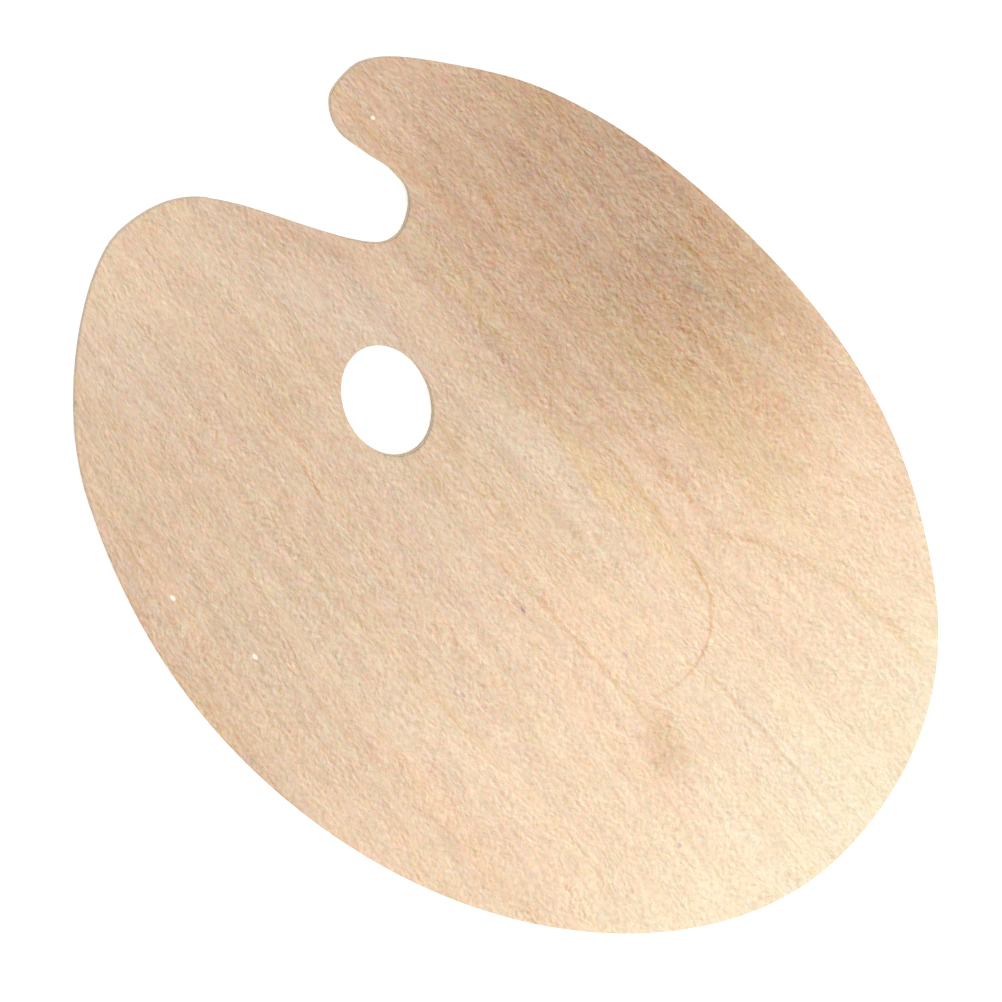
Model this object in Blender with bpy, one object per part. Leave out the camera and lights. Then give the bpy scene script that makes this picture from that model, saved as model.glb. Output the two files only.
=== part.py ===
"""An artist's oval mixing palette, cut from three-ply board.

The board is five layers pressed together: two face plies with their grain along the board,
a core ply with its grain across it, and the two glue films between them. The outline and the
thumb hole go through all five.

Frame: the origin is under the middle of the board, +X runs from the thumb-hole end to the far
end, +Y is the horn's side, and +Z is up, out of the painting face. Everything is in metres.
"""

import math

import bmesh
import bpy
from mathutils import Vector
from mathutils.geometry import interpolate_bezier

# Driving dimensions of the board
LENGTH = 0.350
WIDTH = 0.250
FACE_PLY = 0.0011
CORE_PLY = 0.0016
GLUE_FILM = 0.0001
EDGE_EASE = 0.0003

# The thumb hole is an ellipse that leans away from the board's long axis
HOLE_CENTRE = (-0.0697, -0.0029)
HOLE_LENGTH = 0.0404
HOLE_WIDTH = 0.0295
HOLE_TILT = math.radians(-18.5)
HOLE_FACETS = 48

# How finely the curved outline is cut into flat facets
TURN_PER_FACET = math.radians(4.5)
FEWEST_FACETS = 4


def clear_scene():
    """Removes every object, so that the file holds only the palette."""
    for old in list(bpy.data.objects):
        bpy.data.objects.remove(old, do_unlink=True)


def outline_nodes():
    """The places where the outline's curvature changes, clockwise as seen from above.

    Each is x, y, the heading there in degrees, and how far its handles reach back and ahead.
    """
    end = LENGTH / 2
    side = WIDTH / 2
    return [
        (-0.1260, 0.0975, 34, 0.025, 0.027),  # shoulder behind the horn
        (-0.0015, side, 0, 0.063, 0.056),  # widest point on the horn's side
        (0.1265, 0.0875, -33, 0.041, 0.043),  # far shoulder
        (end, -0.0030, -90, 0.031, 0.061),  # far end
        (-0.0050, -side, -180, 0.104, 0.043),  # widest point on the lobe's side
        (-0.1190, -0.0960, -208, 0.038, 0.036),  # near shoulder
        (-end, -0.0265, -270, 0.015, 0.003),  # near end, on the lobe
        (-0.1630, 0.0020, -322, 0.015, 0.014),  # top of the lobe
        (-0.1200, 0.0255, -329, 0.013, 0.012),  # the run into the notch ends
        (-0.1080, 0.0390, -273, 0.005, 0.003),  # bottom of the notch
        (-0.1195, 0.0520, -182, 0.007, 0.013),  # the notch turns back
        (-0.1435, 0.0485, -171, 0.020, 0.003),  # underside of the horn
        (-0.1575, 0.0545, -232, 0.007, 0.003),  # tip of the horn
        (-0.1585, 0.0690, -293, 0.003, 0.009),  # outer corner of the horn
    ]


def handle(node, reach):
    """The point that lies reach ahead of a node along its heading."""
    x, y, degrees, _, _ = node
    heading = math.radians(degrees)
    return Vector((x + reach * math.cos(heading), y + reach * math.sin(heading)))


def turn_between(node, following):
    """How far the outline turns from one node to the next."""
    degrees = (following[2] - node[2] + 180) % 360 - 180
    return abs(math.radians(degrees))


def board_outline():
    """The outer outline as a closed list of points."""
    nodes = outline_nodes()
    points = []
    for node, following in zip(nodes, nodes[1:] + nodes[:1]):
        start = handle(node, 0)
        leaving = handle(node, node[4])
        arriving = handle(following, -following[3])
        finish = handle(following, 0)
        facets = max(FEWEST_FACETS, math.ceil(turn_between(node, following) / TURN_PER_FACET))
        stretch = interpolate_bezier(start, leaving, arriving, finish, facets + 1)
        points += stretch[:-1]
    return points


def hole_outline():
    """The thumb hole's outline as a closed list of points."""
    along = Vector((math.cos(HOLE_TILT), math.sin(HOLE_TILT)))
    across = Vector((-along.y, along.x))
    points = []
    for step in range(HOLE_FACETS):
        angle = 2 * math.pi * step / HOLE_FACETS
        offset = along * (HOLE_LENGTH / 2 * math.cos(angle)) + across * (HOLE_WIDTH / 2 * math.sin(angle))
        points.append(Vector(HOLE_CENTRE) + offset)
    return points


def area_of(points):
    """Twice the area inside a closed outline, negative where it runs clockwise."""
    return sum(a.cross(b) for a, b in zip(points, points[1:] + points[:1]))


def moved_inwards(points, distance):
    """The outline with each point moved towards its inside; a negative distance widens it."""
    side = 1 if area_of(points) > 0 else -1
    moved = []
    for before, point, after in zip(points[-1:] + points[:-1], points, points[1:] + points[:1]):
        tangent = (after - before).normalized()
        moved.append(point + Vector((-tangent.y, tangent.x)) * side * distance)
    return moved


def add_loop(mesh, points, z):
    """Adds a closed loop of vertices at one height."""
    return [mesh.verts.new((point.x, point.y, z)) for point in points]


def add_wall(mesh, lower, upper):
    """Joins two loops of the same length with a band of four-sided faces."""
    for i in range(len(lower)):
        following = (i + 1) % len(lower)
        mesh.faces.new((lower[i], lower[following], upper[following], upper[i]))


def add_cap(mesh, outer, inner):
    """Fills the flat ring between the board's outline and the thumb hole."""
    edges = []
    for loop in (outer, inner):
        for vertex, following in zip(loop, loop[1:] + loop[:1]):
            edges.append(mesh.edges.get((vertex, following)))
    bmesh.ops.triangle_fill(mesh, use_beauty=True, use_dissolve=False, edges=edges)


def make_material(name, colour, roughness):
    """A non-metallic material of one colour."""
    material = bpy.data.materials.new(name)
    material.use_nodes = True
    shader = material.node_tree.nodes["Principled BSDF"]
    shader.inputs["Base Color"].default_value = (*colour, 1.0)
    shader.inputs["Roughness"].default_value = roughness
    shader.inputs["Metallic"].default_value = 0.0
    return material


def make_layer(name, levels, material):
    """One layer of the board. Its levels are heights with how far the edge is eased there."""
    mesh = bmesh.new()
    outer_loops = []
    inner_loops = []
    for z, eased in levels:
        outer_loops.append(add_loop(mesh, moved_inwards(BOARD_OUTLINE, eased), z))
        inner_loops.append(add_loop(mesh, moved_inwards(HOLE_OUTLINE, -eased), z))
    for loops in (outer_loops, inner_loops):
        for lower, upper in zip(loops, loops[1:]):
            add_wall(mesh, lower, upper)
    add_cap(mesh, outer_loops[0], inner_loops[0])
    add_cap(mesh, outer_loops[-1], inner_loops[-1])
    bmesh.ops.recalc_face_normals(mesh, faces=mesh.faces)

    data = bpy.data.meshes.new(name)
    mesh.to_mesh(data)
    mesh.free()
    data.materials.append(material)
    layer = bpy.data.objects.new(name, data)
    bpy.context.scene.collection.objects.link(layer)
    return layer


def make_palette():
    """Stacks the five layers from the resting face up."""
    back_top = FACE_PLY
    core_bottom = back_top + GLUE_FILM
    core_top = core_bottom + CORE_PLY
    face_bottom = core_top + GLUE_FILM
    face_top = face_bottom + FACE_PLY

    face_wood = make_material("face_wood", (0.66, 0.45, 0.27), 0.55)
    core_wood = make_material("core_wood", (0.45, 0.33, 0.20), 0.75)
    back_wood = make_material("back_wood", (0.62, 0.46, 0.30), 0.60)
    glue = make_material("glue", (0.16, 0.11, 0.07), 0.45)

    make_layer("back_veneer", [(0.0, EDGE_EASE), (EDGE_EASE, 0.0), (back_top, 0.0)], back_wood)
    make_layer("lower_glue_line", [(back_top, 0.0), (core_bottom, 0.0)], glue)
    make_layer("core_veneer", [(core_bottom, 0.0), (core_top, 0.0)], core_wood)
    make_layer("upper_glue_line", [(core_top, 0.0), (face_bottom, 0.0)], glue)
    face_levels = [(face_bottom, 0.0), (face_top - EDGE_EASE, 0.0), (face_top, EDGE_EASE)]
    make_layer("face_veneer", face_levels, face_wood)


clear_scene()
BOARD_OUTLINE = board_outline()
HOLE_OUTLINE = hole_outline()
make_palette()
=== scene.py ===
"""The look of an artist's oval mixing palette: smooth plies, wood, a pale floor and soft light.

The frame: +X runs from the thumb-hole end to the far end, +Y is the horn's side, +Z is up out of
the painting face, and the underside lies on the floor at z = 0. Meshes are in metres. Inside the
wood materials, places and sizes are in millimetres.
"""

import math
from collections import namedtuple

import bmesh
import bpy
from mathutils import Matrix, Vector, noise
from mathutils.geometry import delaunay_2d_cdt
from mathutils.kdtree import KDTree


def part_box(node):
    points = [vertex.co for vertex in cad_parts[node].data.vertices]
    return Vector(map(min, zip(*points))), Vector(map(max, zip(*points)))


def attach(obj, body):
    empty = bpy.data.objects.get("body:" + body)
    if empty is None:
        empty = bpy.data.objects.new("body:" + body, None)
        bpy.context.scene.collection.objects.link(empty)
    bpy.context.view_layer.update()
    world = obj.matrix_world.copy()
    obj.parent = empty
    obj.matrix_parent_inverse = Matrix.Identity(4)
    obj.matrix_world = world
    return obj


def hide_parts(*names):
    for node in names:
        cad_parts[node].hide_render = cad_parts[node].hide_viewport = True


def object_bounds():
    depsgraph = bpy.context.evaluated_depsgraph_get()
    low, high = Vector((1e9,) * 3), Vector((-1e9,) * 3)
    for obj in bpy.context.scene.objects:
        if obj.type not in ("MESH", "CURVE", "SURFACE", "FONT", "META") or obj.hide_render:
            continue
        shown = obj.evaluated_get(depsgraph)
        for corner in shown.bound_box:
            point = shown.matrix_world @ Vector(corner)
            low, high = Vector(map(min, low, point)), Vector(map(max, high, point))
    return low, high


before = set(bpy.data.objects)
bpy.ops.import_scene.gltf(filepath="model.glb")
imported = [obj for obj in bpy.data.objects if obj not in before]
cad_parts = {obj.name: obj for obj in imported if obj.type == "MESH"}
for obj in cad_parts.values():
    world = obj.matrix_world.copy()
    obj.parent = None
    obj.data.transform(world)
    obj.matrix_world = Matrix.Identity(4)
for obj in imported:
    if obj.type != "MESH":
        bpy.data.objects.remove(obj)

CAD_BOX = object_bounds()
BODY = "root"
MM = 0.001

# How fine the meshes are
RIM_STEP = 0.7 * MM
WALL_STEP = 0.22 * MM
FACE_STEP = 1.6 * MM
WELD = 1e-6
SMOOTH_ANGLE = math.radians(40)

# The sanded edges of the two face plies
EDGE_ROUND = 0.45 * MM
EDGE_STEPS = 4
SHOULDER = 0.35 * MM

# How deep sanding and raised grain work the wood
RIM_WEAR = 0.05 * MM
CORE_WEAR = 0.09 * MM
GLUE_WEAR = 0.02 * MM
GLUE_GROOVE = 0.05 * MM
RIDGE = 0.018 * MM
SWELL = 0.05 * MM
FLAT_MARGIN = 6 * MM

# The points beyond the thumb-hole end that the grain fans out from, in millimetres: one for the
# fibres, and one further off for the broad bands
GRAIN_POLE = Vector((-760.0, 90.0))
FIGURE_POLE = Vector((-1700.0, 90.0))

# How far the painted shaded side of a bundle of fibres lies from its painted lit side, in millimetres
FIBRE_SHADE_OFFSET = 0.45


# ---------------------------------------------------------------------------------------------
# Outlines, read from the frame
# ---------------------------------------------------------------------------------------------


def cap_neighbours(node):
    """Which corners follow each other round a flat layer's top, in units of WELD."""
    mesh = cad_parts[node].data
    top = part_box(node)[1].z
    uses = {}
    for polygon in mesh.polygons:
        corners = [mesh.vertices[i].co for i in polygon.vertices]
        if any(abs(corner.z - top) > WELD for corner in corners):
            continue
        keys = [(round(corner.x / WELD), round(corner.y / WELD)) for corner in corners]
        for pair in zip(keys, keys[1:] + keys[:1]):
            side = frozenset(pair)
            uses[side] = uses.get(side, 0) + 1
    neighbours = {}
    for side, count in uses.items():
        if count == 1:
            a, b = side
            neighbours.setdefault(a, []).append(b)
            neighbours.setdefault(b, []).append(a)
    return neighbours


def cap_loops(node):
    """The outlines of a flat layer's top, the board's first and then the thumb hole's."""
    neighbours = cap_neighbours(node)
    loops = []
    while neighbours:
        chain = [min(neighbours)]
        onward = [min(neighbours[chain[0]])]
        while onward:
            chain.append(onward[0])
            onward = [key for key in neighbours[chain[-1]] if key not in chain]
        for key in chain:
            del neighbours[key]
        loops.append([Vector(key) * WELD for key in chain])
    return sorted(loops, key=len, reverse=True)


def signed_area(points):
    """Twice a closed outline's area, positive where it runs anticlockwise."""
    return sum(a.cross(b) for a, b in zip(points, points[1:] + points[:1]))


def smooth_loop(points, step):
    """A closed curve through the points, anticlockwise, with a point about every step."""
    if signed_area(points) < 0:
        points = points[::-1]
    count = len(points)
    smooth = []
    for i in range(count):
        before, start, end, after = (points[(i + k) % count] for k in (-1, 0, 1, 2))
        span = (end - start).length
        leave = (end - before) * span / (span + (start - before).length)
        arrive = (after - start) * span / (span + (after - end).length)
        pieces = max(1, round(span / step))
        for k in range(pieces):
            t = k / pieces
            smooth.append(
                start * (2 * t**3 - 3 * t**2 + 1)
                + leave * (t**3 - 2 * t**2 + t)
                + end * (3 * t**2 - 2 * t**3)
                + arrive * (t**3 - t**2)
            )
    return smooth


def side_normals(points):
    """The unit vectors that point left of an outline's travel, one for each point."""
    normals = []
    for before, after in zip(points[-1:] + points[:-1], points[1:] + points[:1]):
        tangent = (after - before).normalized()
        normals.append(Vector((-tangent.y, tangent.x)))
    return normals


Rim = namedtuple("Rim", "points into_wood")


def make_rims():
    """The board's rim and the thumb hole's, with the direction into the wood at each point."""
    board, hole = (smooth_loop(loop, RIM_STEP) for loop in cap_loops("core_veneer"))
    return Rim(board, side_normals(board)), Rim(hole, [-n for n in side_normals(hole)])


RIMS = make_rims()


# ---------------------------------------------------------------------------------------------
# Ply meshes
# ---------------------------------------------------------------------------------------------

# How a ply's fibres lie: their length and thickness along x and along y, in millimetres
FIBRES_ALONG = (6.0, 0.9)
FIBRES_ACROSS = (0.9, 6.0)
FIBRE_HEIGHT = 0.4

# A rim's wear: the length of its waves in millimetres, and how its depth is shared out
WEAR_WAVE = 18
EVEN_SHARE = 0.5
WAVE_SHARE = 0.3
TORN_SHARE = 0.4

# Raised grain and the swell under it: how long and how wide each is, in millimetres
RIDGE_CELL = (30, 4.5)
SWELL_CELL = (110, 45)
SWELL_SEED = 9

# How near the rim the points of a face may come, as a share of their step
RIM_CLEARANCE = 0.6

Wear = namedtuple("Wear", "depth fibres seed")


def worn_away(point, z, wear):
    """How far sanding took the rim in at a place: long waves with torn fibres on them."""
    x, y, height = point.x / MM, point.y / MM, z / MM
    waves = noise.noise(Vector((x / WEAR_WAVE, y / WEAR_WAVE, wear.seed)))
    torn = Vector((x / wear.fibres[0], y / wear.fibres[1], height / FIBRE_HEIGHT + wear.seed))
    return wear.depth * (EVEN_SHARE + WAVE_SHARE * waves + TORN_SHARE * noise.noise(torn))


def add_ring(mesh, rim, z, inset, wear):
    """Adds one ring of vertices at a height, moved into the wood by the inset and the wear."""
    ring = []
    for point, inwards in zip(rim.points, rim.into_wood):
        moved = point + inwards * (inset + worn_away(point, z, wear))
        ring.append(mesh.verts.new((moved.x, moved.y, z)))
    return ring


def add_wall(mesh, lower, upper):
    """Joins two rings of one length with a band of four-sided faces."""
    for i in range(len(lower)):
        following = (i + 1) % len(lower)
        mesh.faces.new((lower[i], lower[following], upper[following], upper[i]))


def add_plain_cap(mesh, rings):
    """Fills a hidden face between the rim and the thumb hole with as few faces as it takes."""
    edges = []
    for ring in rings:
        for pair in zip(ring, ring[1:] + ring[:1]):
            edges.append(mesh.edges.get(pair))
    bmesh.ops.triangle_fill(mesh, use_beauty=True, use_dissolve=False, edges=edges)


def crossings(y, loops):
    """The x of every place where the loops cross a line along X, in order."""
    found = []
    for loop in loops:
        for a, b in zip(loop, loop[1:] + loop[:1]):
            if (a.y > y) != (b.y > y):
                found.append(a.x + (y - a.y) / (b.y - a.y) * (b.x - a.x))
    return sorted(found)


def is_inside(point, loop):
    """Whether a point lies inside a closed loop."""
    return sum(x < point.x for x in crossings(point.y, [loop])) % 2 == 1


def face_points(loops, near_rim):
    """A staggered grid of points over the wood, kept clear of the loops."""
    row_gap = FACE_STEP * math.sqrt(3) / 2
    clear = RIM_CLEARANCE * FACE_STEP
    rows = int(CAD_BOX[1].y / row_gap)
    points = []
    for row in range(-rows, rows + 1):
        y = row * row_gap
        stagger = FACE_STEP / 2 * (row % 2)
        ends = crossings(y, loops)
        for start, end in zip(ends[::2], ends[1::2]):
            for column in range(math.ceil(start / FACE_STEP), math.floor(end / FACE_STEP) + 1):
                x = column * FACE_STEP + stagger
                if start < x < end and near_rim.find((x, y, 0))[2] > clear:
                    points.append(Vector((x, y)))
    return points


def sanded_depth(point, seed):
    """How far a face lies below its highest level: low ridges of grain on a gentle swell."""
    out_from_pole = point / MM - GRAIN_POLE
    along = out_from_pole.length
    across = math.atan2(out_from_pole.y, out_from_pole.x) * GRAIN_POLE.length
    ridge_place = Vector((along / RIDGE_CELL[0], across / RIDGE_CELL[1], seed))
    swell_place = Vector((along / SWELL_CELL[0], across / SWELL_CELL[1], seed + SWELL_SEED))
    ridges = 1 + noise.noise(ridge_place)
    swell = 1 + noise.noise(swell_place)
    return RIDGE * ridges + SWELL * swell


def add_worked_face(mesh, rings, z, outwards, seed):
    """Fills a visible face with an even net of triangles that carries the raised grain."""
    loops = [[vertex.co.to_2d() for vertex in ring] for ring in rings]
    corners = [vertex for ring in rings for vertex in ring]
    flat = [point for loop in loops for point in loop]
    near_rim = KDTree(len(flat))
    for i, point in enumerate(flat):
        near_rim.insert((point.x, point.y, 0), i)
    near_rim.balance()
    edges = []
    for loop in loops:
        first = len(edges)
        edges += [(first + i, first + (i + 1) % len(loop)) for i in range(len(loop))]
    flat += face_points(loops, near_rim)
    only_inside = 1
    places, _, faces, sources, _, _ = delaunay_2d_cdt(flat, edges, [], only_inside, WELD / 10)
    vertices = []
    for place, source in zip(places, sources):
        if source[0] < len(corners):
            vertices.append(corners[source[0]])
            continue
        margin = min(1, near_rim.find((place.x, place.y, 0))[2] / FLAT_MARGIN)
        height = z - outwards * margin * sanded_depth(place, seed)
        vertices.append(mesh.verts.new((place.x, place.y, height)))
    hole_rim = set(rings[1])
    for face in faces:
        picked = [vertices[i] for i in face]
        if hole_rim.issuperset(picked):
            middle = sum((vertex.co for vertex in picked), Vector()) / len(picked)
            if is_inside(middle, loops[1]):
                continue
        mesh.faces.new(picked)


def wall_heights(low, high):
    """Heights from low to high, evenly spaced at about the wall's step."""
    count = max(1, round((high - low) / WALL_STEP))
    return [low + (high - low) * i / count for i in range(count + 1)]


def rounded_levels(hidden, face):
    """The heights of a wall that rounds over into a face, each with its inset."""
    outwards = 1 if face > hidden else -1
    turn = face - outwards * EDGE_ROUND
    levels = [(z, 0.0) for z in wall_heights(min(hidden, turn), max(hidden, turn))]
    if outwards < 0:
        levels.reverse()
    for step in range(1, EDGE_STEPS + 1):
        angle = math.pi / 2 * step / EDGE_STEPS
        z = turn + outwards * EDGE_ROUND * math.sin(angle)
        levels.append((z, EDGE_ROUND * (1 - math.cos(angle))))
    levels.append((face, EDGE_ROUND + SHOULDER))
    return levels


def add_walls(mesh, levels, wear):
    """Adds the walls of the rim and the thumb hole. Gives their first rings and their last."""
    ends = []
    for rim in RIMS:
        rings = [add_ring(mesh, rim, z, inset, wear) for z, inset in levels]
        for lower, upper in zip(rings, rings[1:]):
            add_wall(mesh, lower, upper)
        ends.append((rings[0], rings[-1]))
    return zip(*ends)


def finished_piece(name, mesh, material, node):
    """Links a built mesh to the scene in place of its CAD node."""
    bmesh.ops.recalc_face_normals(mesh, faces=mesh.faces)
    data = bpy.data.meshes.new(name)
    mesh.to_mesh(data)
    mesh.free()
    data.shade_smooth()
    data.set_sharp_from_angle(angle=SMOOTH_ANGLE)
    data.materials.append(material)
    piece = bpy.data.objects.new(name, data)
    bpy.context.scene.collection.objects.link(piece)
    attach(piece, BODY)
    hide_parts(node)
    return piece


def make_face_ply(name, node, material, hidden, face, wear):
    """An outer ply: a hidden flat side, a rounded edge and a worked face."""
    mesh = bmesh.new()
    first, last = add_walls(mesh, rounded_levels(hidden, face), wear)
    add_plain_cap(mesh, first)
    add_worked_face(mesh, last, face, 1 if face > hidden else -1, wear.seed)
    return finished_piece(name, mesh, material, node)


def make_inner_layer(name, node, material, groove, wear):
    """The core or a glue film, of which only the edges show. A groove sets it back."""
    low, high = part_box(node)
    mesh = bmesh.new()
    levels = [(z, groove) for z in wall_heights(low.z, high.z)]
    first, last = add_walls(mesh, levels, wear)
    add_plain_cap(mesh, first)
    add_plain_cap(mesh, last)
    return finished_piece(name, mesh, material, node)


# ---------------------------------------------------------------------------------------------
# Wood materials
# ---------------------------------------------------------------------------------------------


class Graph:
    """A material's nodes. Each call adds some and hands back the socket that they end in."""

    def __init__(self, name):
        self.material = bpy.data.materials.new(name)
        self.material.use_nodes = True
        self.tree = self.material.node_tree
        self.shader = self.tree.nodes["Principled BSDF"]

    def feed(self, socket, value):
        """Links a socket to another, or sets it to a plain value."""
        if isinstance(value, bpy.types.NodeSocket):
            self.tree.links.new(value, socket)
        else:
            socket.default_value = value

    def make(self, kind, *values, output=0, **settings):
        """Adds a node with these settings and feeds its first sockets in their order."""
        node = self.tree.nodes.new("ShaderNode" + kind)
        for setting, choice in settings.items():
            setattr(node, setting, choice)
        for socket, value in zip(node.inputs, values):
            self.feed(socket, value)
        return node.outputs[output]

    def math(self, operation, *values):
        """One step of arithmetic on sockets or numbers."""
        return self.make("Math", *values, operation=operation)

    def total(self, values):
        """The sum of a list of sockets."""
        result = values[0]
        for value in values[1:]:
            result = self.math("ADD", result, value)
        return result

    def weighted(self, *pairs):
        """The sum of sockets, each times its weight."""
        result = 0.0
        for value, weight in pairs:
            result = self.math("MULTIPLY_ADD", value, weight, result)
        return result

    def vector(self, x, y, z):
        """A vector made of three sockets or numbers."""
        return self.make("CombineXYZ", x, y, z)

    def stretched(self, place, x, y, z, seed):
        """A place measured in cells of these sizes, moved on to a part of the noise of its own."""
        offset = (seed * 17.3, seed * 9.1, seed * 5.7)
        return self.make("VectorMath", place, (1 / x, 1 / y, 1 / z), offset, operation="MULTIPLY_ADD")

    def noise(self, place, detail=2.0, roughness=0.5):
        """Noise around zero, mostly between -0.3 and 0.3."""
        unused_w, scale = 0.0, 1.0
        value = self.make("TexNoise", place, unused_w, scale, detail, roughness)
        return self.math("SUBTRACT", value, 0.5)

    def ramp(self, value, start, end, low, high):
        """Low up to start and high from end on, with a soft turn between."""
        return self.make("MapRange", value, start, end, low, high, interpolation_type="SMOOTHSTEP")

    def fade(self, value, start, end):
        """0 up to start and 1 from end on, with a soft turn between; start may lie above end."""
        if start > end:
            return self.ramp(value, end, start, 1.0, 0.0)
        return self.ramp(value, start, end, 0.0, 1.0)

    def tinted(self, colour, amount, tint):
        """A colour plus an amount of a tint."""
        scaling = self.tree.nodes.new("ShaderNodeVectorMath")
        scaling.operation = "SCALE"
        self.feed(scaling.inputs["Vector"], tint)
        self.feed(scaling.inputs["Scale"], amount)
        return self.make("VectorMath", colour, scaling.outputs["Vector"], operation="ADD")

    def turned(self, place, x, y, tilt, long, wide):
        """How far a place is from a point, along and across a direction, in lengths and widths."""
        along = (math.cos(tilt) / long, math.sin(tilt) / long, 0.0)
        across = (-math.sin(tilt) / wide, math.cos(tilt) / wide, 0.0)
        offset = self.make("VectorMath", place, (x, y, 0.0), operation="SUBTRACT")
        u = self.make("VectorMath", offset, along, operation="DOT_PRODUCT", output="Value")
        v = self.make("VectorMath", offset, across, operation="DOT_PRODUCT", output="Value")
        return u, v


def object_place(graph):
    """The place on the board in millimetres."""
    metres = graph.make("TexCoord", output="Object")
    return graph.make("VectorMath", metres, (1 / MM,) * 3, operation="MULTIPLY")


def split(graph, vector):
    """The x, y and z of a vector."""
    x = graph.make("SeparateXYZ", vector, output="X")
    return x, x.node.outputs["Y"], x.node.outputs["Z"]


# How far the grain wanders sideways in slow, quick and restless turns, in millimetres
SLOW_WANDER = 10.0
QUICK_WANDER = 2.4
RESTLESS_WANDER = 1.2


def fanned_grain(graph, place, pole, wander):
    """The place as how far it is along the grain, across it and up, with grain that wanders."""
    x, y, z = split(graph, place)
    east = graph.math("SUBTRACT", x, pole.x)
    north = graph.math("SUBTRACT", y, pole.y)
    reach = graph.make("VectorMath", graph.vector(east, north, 0.0), operation="LENGTH", output="Value")
    turn = graph.math("ARCTAN2", north, east)
    across = graph.math("MULTIPLY", turn, pole.length)
    slow = graph.noise(graph.stretched(place, 80, 26, 40, seed=1))
    quick = graph.noise(graph.stretched(place, 20, 8, 20, seed=2))
    restless = graph.noise(graph.stretched(place, 4.5, 2.6, 5, seed=27))
    across = graph.weighted(
        (across, 1.0),
        (slow, SLOW_WANDER * wander),
        (quick, QUICK_WANDER * wander),
        (restless, RESTLESS_WANDER * wander),
    )
    return graph.vector(reach, across, z)


# Tints that a patch adds to the wood's colour, as shares of its red, green and blue
BROWN = (-0.55, -0.80, -1.00)
FIBRE_AND_SHADE = (-0.62, -0.80, -1.00)
PALE = (0.90, 1.00, 0.90)
CREAM_AND_SHEEN = (0.25, 1.00, 1.15)
GREY = (0.05, 0.45, 1.00)
PINK = (0.45, -0.50, -0.15)
GOLD = (0.30, 0.10, -1.00)
RUST = (-0.33, -0.64, -1.05)
SHADE = (-1.00, -0.90, -0.90)

# A soft oval of colour: its middle, half its length and width in millimetres, its tilt in degrees
Patch = namedtuple("Patch", "x y long wide tilt amount tint")

FACE_PATCHES = [
    Patch(-70, 105, 140, 102, 0, 0.44, BROWN),  # painted shade, darkening the side behind the horn
    Patch(8, 92, 82, 50, 0, 0.18, BROWN),
    Patch(-28, 92, 32, 24, 8, 0.10, BROWN),
    Patch(-92, 88, 20, 16, 0, 0.06, BROWN),
    Patch(-72, 106, 60, 34, 0, 0.10, GREY),
    Patch(-30, 92, 60, 24, 0, 0.07, GREY),
    Patch(-10, 52, 105, 32, 0, 0.09, BROWN),
    Patch(-45, 32, 44, 9, 2, 0.10, BROWN),  # a darker band between horn and thumb hole
    Patch(10, 32, 75, 11, 0, 0.13, GOLD),
    Patch(20, 29, 62, 18, 0, 0.07, BROWN),
    Patch(92, -19, 24, 10, -18, 0.22, RUST),  # the dark teardrop past the ring's nose
    Patch(100, -22, 32, 12, -22, 0.15, BROWN),
    Patch(95, -4, 3, 9, -12, 0.06, RUST),
    Patch(-30, -125, 125, 24, -4, 0.07, BROWN),
    Patch(-32, -118, 34, 8, -3, 0.07, GOLD),
    Patch(-72, -108, 40, 14, -10, 0.07, BROWN),
    Patch(90, -112, 90, 28, 22, 0.07, BROWN),
    Patch(45, -105, 95, 26, 8, 0.05, BROWN),
    Patch(30, -94, 110, 18, 0, 0.06, BROWN),
    Patch(-130, 14, 40, 7, 26, 0.16, BROWN),  # along the lobe's side of the notch
    Patch(-98, 9, 44, 14, 8, 0.17, GREY),  # the worn, greyer wood round the thumb hole
    Patch(-20, 19, 60, 12, 1, 0.10, GREY),
    Patch(-140, -8, 50, 16, -6, 0.11, GREY),
    Patch(-172, -38, 52, 46, 0, 0.10, PALE),
    Patch(-145, -52, 50, 30, -18, 0.11, GREY),
    Patch(-105, -28, 50, 16, -6, 0.05, BROWN),
    Patch(12, 78, 95, 50, -4, 0.05, GOLD),
    Patch(-102, 60, 40, 18, -8, 0.08, BROWN),
    Patch(42, 72, 42, 24, -4, 0.07, BROWN),
    Patch(20, 114, 90, 14, 0, 0.07, BROWN),
    Patch(-40, -6, 24, 16, 0, 0.08, BROWN),
    Patch(-92, -100, 34, 16, -16, 0.06, BROWN),
    Patch(94, 46, 36, 12, 0, 0.05, PALE),
    Patch(92, 3, 36, 9, -4, 0.06, CREAM_AND_SHEEN),
    Patch(-75, 39, 40, 5, 2, 0.05, GOLD),
    Patch(48, 3, 52, 6, 1, 0.09, PALE),  # the bright wedge inside the ring's nose
    Patch(130, 8, 70, 15, -1, 0.13, GREY),
    Patch(30, -55, 90, 9, -4, 0.07, GREY),
    Patch(30, -88, 90, 10, -6, 0.05, PINK),
]

# A thin line of the figure: its two ends, how far its middle bows to the left of travel, its half
# width, all in millimetres, and how dark it is
Line = namedtuple("Line", "x1 y1 x2 y2 bow wide dark")

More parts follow.
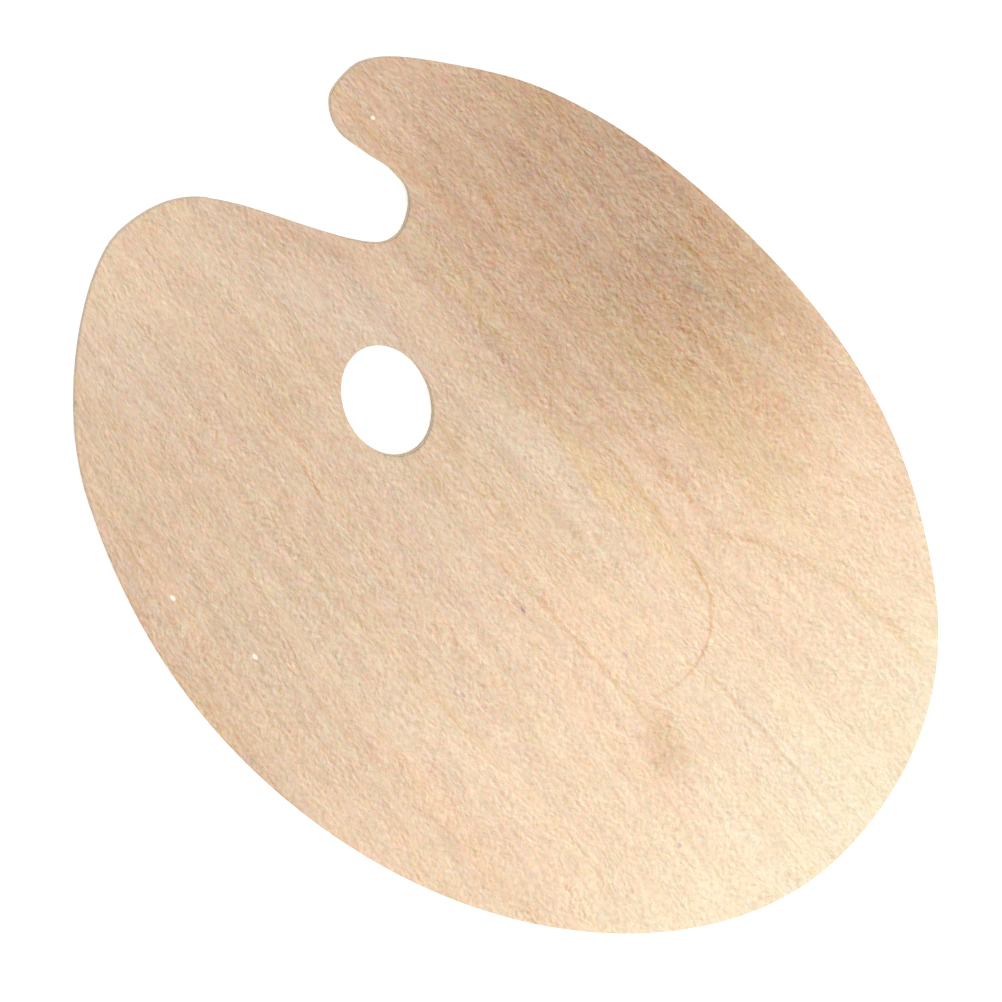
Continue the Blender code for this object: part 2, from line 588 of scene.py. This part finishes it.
FACE_LINES = [
    Line(-104, 34, 56, 31, 7.5, 1.2, 0.15),  # the upper side of the growth ring
    Line(-104, 44, 30, 46, 2.0, 2.6, 0.07),
    Line(78, 8, 166, 3, 3.0, 1.1, 0.26),
    Line(50, 45, 92, 62, 4.0, 1.8, 0.19),
    Line(86, 61, 152, 64, 4.5, 2.1, 0.19),
    Line(90, -6, 164, 9, 5.0, 1.6, 0.09),
    Line(60, 36, 150, 30, 4.0, 1.2, 0.08),
    Line(-54, 4, -38, 2, 0.3, 0.9, 0.24),
    Line(-32, -2, -8, -6, 0.5, 0.8, 0.21),
    Line(4, 2, 32, 3, 0.4, 0.8, 0.17),
    Line(-8, -15, 86, -18, 1.5, 1.3, 0.22),
    Line(12, -20, 26, -22, 0.0, 0.8, 0.20),
    Line(-80, -36, -58, -42, -1.0, 0.9, 0.29),
    Line(-104, -34, -76, -35, 0.6, 1.6, 0.17),
    Line(-98, 70, -80, 64, 0.0, 1.4, 0.16),
    Line(-40, 106, -26, 107, 0.0, 1.4, 0.16),
    Line(-160, 66, -138, 63, 0.5, 1.2, 0.14),
    Line(-86, -57, 34, -59, 1.6, 0.8, 0.14),
    Line(-70, -62, 50, -66, 1.0, 1.2, 0.10),
    Line(48, -94, 104, -101, 1.0, 1.0, 0.15),
    Line(-152, -70, -60, -76, 2.0, 3.0, 0.09),
    Line(-112, -89, 30, -95, 2.0, 2.2, 0.09),
    Line(5, 51, 40, 47, 0.5, 1.4, 0.12),
]

# The nose of the growth ring: a quarter of an oval
RING_NOSE = (45.0, 3.0, 35.5, 30.5)
RING_WIDE = 1.0
RING_DARK = 0.42

# Small pale specks and short purplish streaks: middle and half length in millimetres
SPECKS = [(-142.5, 59.6, 1.1), (-74.3, -100.5, 1.5), (-38.8, -96.1, 1.7)]
STAINS = [(18.5, -20.9, 2.2), (57.9, -7.0, 2.0), (125.7, -41.3, 1.6), (25.2, -56.4, 1.8)]
SPECK_WIDE = 0.9
STAIN_WIDE = 0.7
MARK_TILT = -6.0
SPECK_TINT = (0.65, 0.95, 1.40)
STAIN_TINT = (-0.38, -0.45, -0.10)

# How far noise shifts drawn lines, and patches along and across the board, in millimetres
LINE_SHAKE = 4.0
PATCH_PULL = 40.0
PATCH_PUSH = 22.0

# Painted light and painted sheen: where the face is painted paler towards the far end along x, from, to
# and by how much
PAINTED_LIGHT_RAMP = (-50.0, 75.0, 0.185)
PAINTED_SHEEN_RAMP = (75.0, 190.0, 0.22)

# The colours that the tints work on, and how much darker end grain is
UNTINTED = (1.0, 1.0, 1.0)
FACE_COLOUR = (0.526, 0.376, 0.255)
BACK_COLOUR = (0.56, 0.415, 0.29)
CORE_COLOUR = (0.45, 0.39, 0.29)
GLUE_COLOUR = (0.38, 0.30, 0.21)
END_GRAIN_SHADE = 0.34

# How deep the relief of each surface is
VENEER_RELIEF = 0.06 * MM
CORE_RELIEF = 0.12 * MM
GLUE_RELIEF = 0.05 * MM


def shaken_place(graph, place):
    """The place with its height left out, shifted a little so that drawn lines aren't ruled."""
    x, y, _ = split(graph, place)
    shake = graph.noise(graph.stretched(place, 14, 7, 100, seed=4), detail=3.0)
    return graph.vector(x, graph.math("MULTIPLY_ADD", shake, LINE_SHAKE, y), 0.0)


def drifted_place(graph, place, figure):
    """The place with its height left out, pulled along the grain so that patches end in streaks."""
    x, y, _ = split(graph, place)
    pull = graph.noise(graph.stretched(figure, 40, 7, 100, seed=25), detail=3.0, roughness=0.6)
    push = graph.noise(graph.stretched(figure, 26, 14, 100, seed=26), detail=3.0)
    x = graph.math("MULTIPLY_ADD", pull, PATCH_PULL, x)
    y = graph.math("MULTIPLY_ADD", push, PATCH_PUSH, y)
    return graph.vector(x, y, 0.0)


def oval_distance(graph, flat, x, y, long, wide, tilt):
    """How far out a place is in an oval, from 0 in its middle to 1 on its edge."""
    u, v = graph.turned(flat, x, y, math.radians(tilt), long, wide)
    return graph.make("VectorMath", graph.vector(u, v, 0.0), operation="LENGTH", output="Value")


def patched(graph, colour, flat, patches):
    """The colour with soft patches of tint laid over it."""
    for patch in patches:
        distance = oval_distance(graph, flat, *patch[:5])
        amount = graph.ramp(distance, 0.0, 1.0, patch.amount, 0.0)
        colour = graph.tinted(colour, amount, patch.tint)
    return colour


def drawn_line(graph, flat, line):
    """One line of the figure, from 0 beside it to its darkness on it."""
    start, end = Vector((line.x1, line.y1)), Vector((line.x2, line.y2))
    middle = (start + end) / 2
    chord = end - start
    tilt = math.atan2(chord.y, chord.x)
    half = chord.length / 2
    u, v = graph.turned(flat, middle.x, middle.y, tilt, half, 1.0)
    squared = graph.math("MULTIPLY", u, u)
    from_curve = graph.math("MULTIPLY_ADD", squared, line.bow, graph.math("SUBTRACT", v, line.bow))
    beside = graph.math("DIVIDE", from_curve, line.wide)
    distance = graph.math("ADD", graph.math("MULTIPLY", beside, beside), graph.math("POWER", squared, 3.0))
    return graph.ramp(distance, 0.0, 1.0, line.dark, 0.0)


def ring_nose(graph, flat):
    """The end of the growth ring, where its line turns back on itself."""
    x, y, long, wide = RING_NOSE
    radius = oval_distance(graph, flat, x, y, long, wide, 0.0)
    beside = graph.math("ABSOLUTE", graph.math("SUBTRACT", radius, 1.0))
    line = graph.ramp(beside, 0.0, RING_WIDE / wide, RING_DARK, 0.0)
    east, north, _ = split(graph, flat)
    ahead = graph.fade(east, x - 2.0, x + 6.0)
    above = graph.fade(north, y - 20.0, y + 4.0)
    return graph.math("MULTIPLY", line, graph.math("MULTIPLY", ahead, above))


def marks(graph, place, spots, wide):
    """Short marks along the grain, 1 in their middles."""
    found = []
    for x, y, long in spots:
        distance = oval_distance(graph, place, x, y, long, wide, MARK_TILT)
        found.append(graph.fade(distance, 1.0, 0.4))
    return graph.total(found)


def surface_direction(graph):
    """The x, y and z of the way that the surface faces."""
    return split(graph, graph.make("TexCoord", output="Normal"))


def end_grain_share(graph):
    """0 on the faces and on walls along the board, and up to 1 on walls across its ends."""
    x, _, z = surface_direction(graph)
    wall = graph.fade(graph.math("ABSOLUTE", z), 0.85, 0.3)
    return graph.math("MULTIPLY", wall, graph.math("ABSOLUTE", x))


Grain = namedtuple("Grain", "strokes streaks bands mottle pores rough")


def painted_fibre_shading(graph, fanned):
    """Painted shade and highlight of short bundles of fibre: each gets a dark side and a pale side, as
    relief under a side light would, stronger in some places.
    """
    beside = graph.make("VectorMath", fanned, (0.0, FIBRE_SHADE_OFFSET, 0.0), operation="ADD")
    here = graph.noise(graph.stretched(fanned, 1.9, 1.25, 1.3, seed=5), detail=1.2)
    there = graph.noise(graph.stretched(beside, 1.9, 1.25, 1.3, seed=5), detail=1.2)
    strength = graph.noise(graph.stretched(fanned, 15, 7, 9, seed=28), detail=1.0)
    strength = graph.math("MULTIPLY_ADD", strength, 2.0, 1.0)
    return graph.math("MULTIPLY", graph.math("SUBTRACT", there, here), strength)


def veneer_grain(graph, fanned, figure):
    """The parts of a peeled veneer's grain, the fibres' painted shade and highlight among them, each as
    noise around zero; pores run from 0 to 1.
    """
    strokes = painted_fibre_shading(graph, fanned)
    streaks = graph.noise(graph.stretched(fanned, 32, 1.8, 1.6, seed=6), detail=3.0, roughness=0.6)
    bands = graph.noise(graph.stretched(figure, 170, 6.0, 8, seed=7), detail=3.0, roughness=0.6)
    mottle = graph.noise(graph.stretched(fanned, 6.5, 3.4, 5, seed=8), detail=2.0)
    rough = graph.noise(graph.stretched(fanned, 1.7, 1.2, 1.3, seed=9), detail=2.0)
    thin = graph.noise(graph.stretched(fanned, 7, 0.5, 0.5, seed=10), detail=1.0)
    pores = graph.fade(thin, 0.17, 0.32)
    return Grain(strokes, streaks, bands, mottle, pores, rough)


def finish_surface(graph, colour, base, roughness, height, bump_distance):
    """Feeds a surface's colour, roughness and relief to its shader."""
    tone = graph.make("VectorMath", colour, base, operation="MULTIPLY")
    graph.feed(graph.shader.inputs["Base Color"], tone)
    graph.feed(graph.shader.inputs["Roughness"], roughness)
    bump = graph.tree.nodes.new("ShaderNodeBump")
    bump.inputs["Strength"].default_value = 1.0
    bump.inputs["Distance"].default_value = bump_distance
    graph.feed(bump.inputs["Height"], height)
    graph.feed(graph.shader.inputs["Normal"], bump.outputs["Normal"])


def finish_veneer(graph, colour, base, grain, least_rough):
    """Shades a veneer's end grain and finishes it."""
    end_grain = end_grain_share(graph)
    colour = graph.tinted(colour, graph.math("MULTIPLY", end_grain, END_GRAIN_SHADE), SHADE)
    roughness = graph.weighted((grain.rough, 0.16), (grain.streaks, 0.10), (end_grain, 0.2))
    roughness = graph.math("ADD", roughness, least_rough)
    height = graph.weighted(
        (grain.strokes, -1.0),
        (grain.rough, -0.5),
        (grain.pores, -0.8),
        (grain.streaks, -0.4),
    )
    finish_surface(graph, colour, base, roughness, height, VENEER_RELIEF)


def make_face_wood():
    """The painting face: bare sanded veneer with a long growth ring, painted shade towards the horn and
    painted light and sheen towards the far end.
    """
    graph = Graph("face_wood")
    place = object_place(graph)
    x, y, _ = split(graph, place)
    flat = shaken_place(graph, place)
    fanned = fanned_grain(graph, place, GRAIN_POLE, wander=1.0)
    figure = fanned_grain(graph, place, FIGURE_POLE, wander=1.0)
    grain = veneer_grain(graph, fanned, figure)

    colour = patched(graph, UNTINTED, drifted_place(graph, place, figure), FACE_PATCHES)
    # Painted light and painted sheen: the face turns paler, then creamier, towards the far end along x
    for (start, end, amount), tint in ((PAINTED_LIGHT_RAMP, PALE), (PAINTED_SHEEN_RAMP, CREAM_AND_SHEEN)):
        colour = graph.tinted(colour, graph.ramp(x, start, end, 0.0, amount), tint)

    lines = [drawn_line(graph, flat, line) for line in FACE_LINES]
    drawn = graph.total(lines + [ring_nose(graph, flat)])
    # Fine grain, with the painted shade and highlight of the fibre bundles
    fine = graph.weighted((grain.strokes, 1.00), (grain.rough, 0.60), (grain.mottle, 0.36))
    broad = graph.weighted((grain.streaks, 0.36), (grain.bands, 0.34), (grain.pores, 0.12))
    colour = graph.tinted(colour, drawn, RUST)
    colour = graph.tinted(colour, fine, FIBRE_AND_SHADE)
    colour = graph.tinted(colour, broad, BROWN)
    blush = graph.noise(graph.stretched(fanned, 2.6, 1.6, 5, seed=11), detail=2.5, roughness=0.6)
    glint = graph.noise(graph.stretched(fanned, 3.6, 2.4, 5, seed=19), detail=3.0, roughness=0.7)
    blush_bands = graph.noise(graph.stretched(figure, 120, 9, 9, seed=23), detail=3.0, roughness=0.6)
    gold_bands = graph.noise(graph.stretched(figure, 140, 8, 9, seed=24), detail=3.0, roughness=0.6)
    pinkness = graph.weighted((blush, 0.58), (blush_bands, 0.20))
    goldness = graph.weighted((glint, 0.52), (gold_bands, 0.24))
    colour = graph.tinted(colour, pinkness, PINK)
    colour = graph.tinted(colour, goldness, GOLD)
    level = graph.vector(x, y, 0.0)
    colour = graph.tinted(colour, marks(graph, level, SPECKS, SPECK_WIDE), SPECK_TINT)
    colour = graph.tinted(colour, marks(graph, level, STAINS, STAIN_WIDE), STAIN_TINT)
    finish_veneer(graph, colour, FACE_COLOUR, grain, least_rough=0.46)
    return graph.material


def make_back_wood():
    """The underside: plainer veneer with faint rings round two swellings of the log."""
    graph = Graph("back_wood")
    place = object_place(graph)
    squeeze = (1.0, -0.8, 1.0)
    shift = (37.0, 14.0, 60.0)
    mirrored = graph.make("VectorMath", place, squeeze, shift, operation="MULTIPLY_ADD")
    fanned = fanned_grain(graph, mirrored, GRAIN_POLE, wander=1.4)
    figure = fanned_grain(graph, mirrored, FIGURE_POLE, wander=1.4)
    grain = veneer_grain(graph, fanned, figure)
    swell = graph.noise(graph.stretched(mirrored, 170, 42, 400, seed=12), detail=1.5)
    rings = graph.math("PINGPONG", graph.math("MULTIPLY", swell, 9.0), 0.5)
    ring_lines = graph.fade(rings, 0.09, 0.0)
    # The fibre bundles' painted shade and highlight mark the back as well
    dark = graph.weighted(
        (grain.strokes, 0.90),
        (grain.rough, 0.50),
        (grain.mottle, 0.30),
        (grain.streaks, 0.36),
        (grain.bands, 0.55),
        (grain.pores, 0.20),
        (ring_lines, 0.10),
    )
    colour = graph.tinted(UNTINTED, dark, BROWN)
    warm = graph.noise(graph.stretched(mirrored, 90, 40, 90, seed=13), detail=2.0)
    colour = graph.tinted(colour, graph.math("MULTIPLY", warm, 0.35), GOLD)
    colour = graph.tinted(colour, graph.math("MULTIPLY", warm, 0.25), BROWN)
    finish_veneer(graph, colour, BACK_COLOUR, grain, least_rough=0.52)
    return graph.material


def make_core_wood():
    """The core's edge: fibres lengthwise at the ends of the board, open pores along its sides."""
    graph = Graph("core_wood")
    place = object_place(graph)
    fibres = graph.noise(graph.stretched(place, 0.45, 9, 0.30, seed=14), detail=3.0, roughness=0.6)
    bands = graph.noise(graph.stretched(place, 5, 60, 1.2, seed=15), detail=2.0)
    pore_noise = graph.noise(graph.stretched(place, 0.22, 7, 0.22, seed=16), detail=1.0)
    pores = graph.fade(pore_noise, 0.10, 0.25)
    _, y, _ = surface_direction(graph)
    end_grain = graph.math("ABSOLUTE", y)
    dark = graph.weighted((fibres, 0.45), (bands, 0.30), (pores, 0.30), (end_grain, 0.10))
    colour = graph.tinted(UNTINTED, dark, BROWN)
    roughness = graph.math("MULTIPLY_ADD", fibres, 0.2, 0.72)
    height = graph.weighted((fibres, -1.0), (pores, -1.2))
    finish_surface(graph, colour, CORE_COLOUR, roughness, height, CORE_RELIEF)
    return graph.material


def make_glue():
    """The glue films: brown resin, soaked unevenly into the wood on each side."""
    graph = Graph("glue")
    place = object_place(graph)
    soaked = graph.noise(graph.stretched(place, 2.5, 2.5, 0.3, seed=18), detail=3.0)
    colour = graph.tinted(UNTINTED, graph.math("MULTIPLY", soaked, 1.1), PALE)
    roughness = graph.math("MULTIPLY_ADD", soaked, 0.4, 0.55)
    finish_surface(graph, colour, GLUE_COLOUR, roughness, soaked, GLUE_RELIEF)
    return graph.material


# ---------------------------------------------------------------------------------------------
# Camera, floor and light
# ---------------------------------------------------------------------------------------------

CAMERA_TILT = math.radians(20.7)
CAMERA_DISTANCE = 1.1034
CAMERA_LENS = 115.9
CAMERA_AIM = (-0.0157, 0.0004)
FLOOR_RADIUS = 8.0
FLOOR_DROP = 0.1 * MM
KEY_PLACE = (0.90, -0.05, 0.95)
KEY_SIDE = 0.9
KEY_POWER = 9.0
FILL_PLACE = (-1.1, 0.5, 0.8)
FILL_SIDE = 1.4
FILL_POWER = 8.0
SKY_STRENGTH = 0.90
FLOOR_COLOUR = (0.93, 0.93, 0.93)
FLOOR_GLOW = 0.25


def make_camera():
    """A long lens that looks down on the painting face, with the board turned corner to corner."""
    sine, cosine = math.sin(CAMERA_TILT), math.cos(CAMERA_TILT)
    back = Vector((-sine, 0, cosine))
    along = Vector((cosine, 0, sine))
    side = Vector((0, 1, 0))
    right = (along + side).normalized()
    up = (side - along).normalized()
    aim = Vector((*CAMERA_AIM, CAD_BOX[1].z))
    lens = bpy.data.cameras.new("camera")
    lens.lens = CAMERA_LENS
    camera = bpy.data.objects.new("camera", lens)
    turn = Matrix((right, up, back)).transposed().to_4x4()
    camera.matrix_world = Matrix.Translation(aim + back * CAMERA_DISTANCE) @ turn
    bpy.context.scene.collection.objects.link(camera)
    bpy.context.scene.camera = camera


def make_floor():
    """A wide, matt, almost white floor just under the board, glowing a little to soften shadows."""
    mesh = bmesh.new()
    bmesh.ops.create_circle(mesh, cap_ends=True, segments=96, radius=FLOOR_RADIUS)
    data = bpy.data.meshes.new("floor")
    mesh.to_mesh(data)
    mesh.free()
    graph = Graph("floor_paper")
    graph.shader.inputs["Base Color"].default_value = (*FLOOR_COLOUR, 1.0)
    graph.shader.inputs["Roughness"].default_value = 1.0
    graph.shader.inputs["Specular IOR Level"].default_value = 0.0
    graph.shader.inputs["Emission Color"].default_value = (1.0, 1.0, 1.0, 1.0)
    graph.shader.inputs["Emission Strength"].default_value = FLOOR_GLOW
    data.materials.append(graph.material)
    floor = bpy.data.objects.new("floor", data)
    floor.location.z = CAD_BOX[0].z - FLOOR_DROP
    bpy.context.scene.collection.objects.link(floor)


def make_panel_light(name, place, side, power):
    """A square soft light that faces the middle of the board."""
    panel = bpy.data.lights.new(name, "AREA")
    panel.size = side
    panel.energy = power
    light = bpy.data.objects.new(name, panel)
    light.location = place
    light.rotation_euler = Vector(place).to_track_quat("Z", "Y").to_euler()
    bpy.context.scene.collection.objects.link(light)


def make_sky():
    """An even white sky, which fills the shadows."""
    world = bpy.data.worlds.new("sky")
    world.use_nodes = True
    background = world.node_tree.nodes["Background"]
    background.inputs["Color"].default_value = (1.0, 1.0, 1.0, 1.0)
    background.inputs["Strength"].default_value = SKY_STRENGTH
    bpy.context.scene.world = world
    bpy.context.scene.view_settings.view_transform = "Standard"


def make_palette():
    """Builds the five layers from the resting face up."""
    face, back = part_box("face_veneer"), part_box("back_veneer")
    ply_wear = Wear(RIM_WEAR, FIBRES_ALONG, seed=3.0)
    back_wear = Wear(RIM_WEAR, FIBRES_ALONG, seed=21.0)
    glue_wear = Wear(GLUE_WEAR, FIBRES_ALONG, seed=5.0)
    core_wear = Wear(CORE_WEAR, FIBRES_ACROSS, seed=8.0)
    back_wood = make_back_wood()
    core_wood = make_core_wood()
    face_wood = make_face_wood()
    glue = make_glue()
    make_face_ply("back_ply", "back_veneer", back_wood, back[1].z, back[0].z, back_wear)
    make_inner_layer("lower_glue_film", "lower_glue_line", glue, GLUE_GROOVE, glue_wear)
    make_inner_layer("core_ply", "core_veneer", core_wood, 0.0, core_wear)
    make_inner_layer("upper_glue_film", "upper_glue_line", glue, GLUE_GROOVE, glue_wear)
    make_face_ply("painting_ply", "face_veneer", face_wood, face[0].z, face[1].z, ply_wear)


make_palette()
make_camera()
make_floor()
make_panel_light("key", KEY_PLACE, KEY_SIDE, KEY_POWER)
make_panel_light("fill", FILL_PLACE, FILL_SIDE, FILL_POWER)
make_sky()
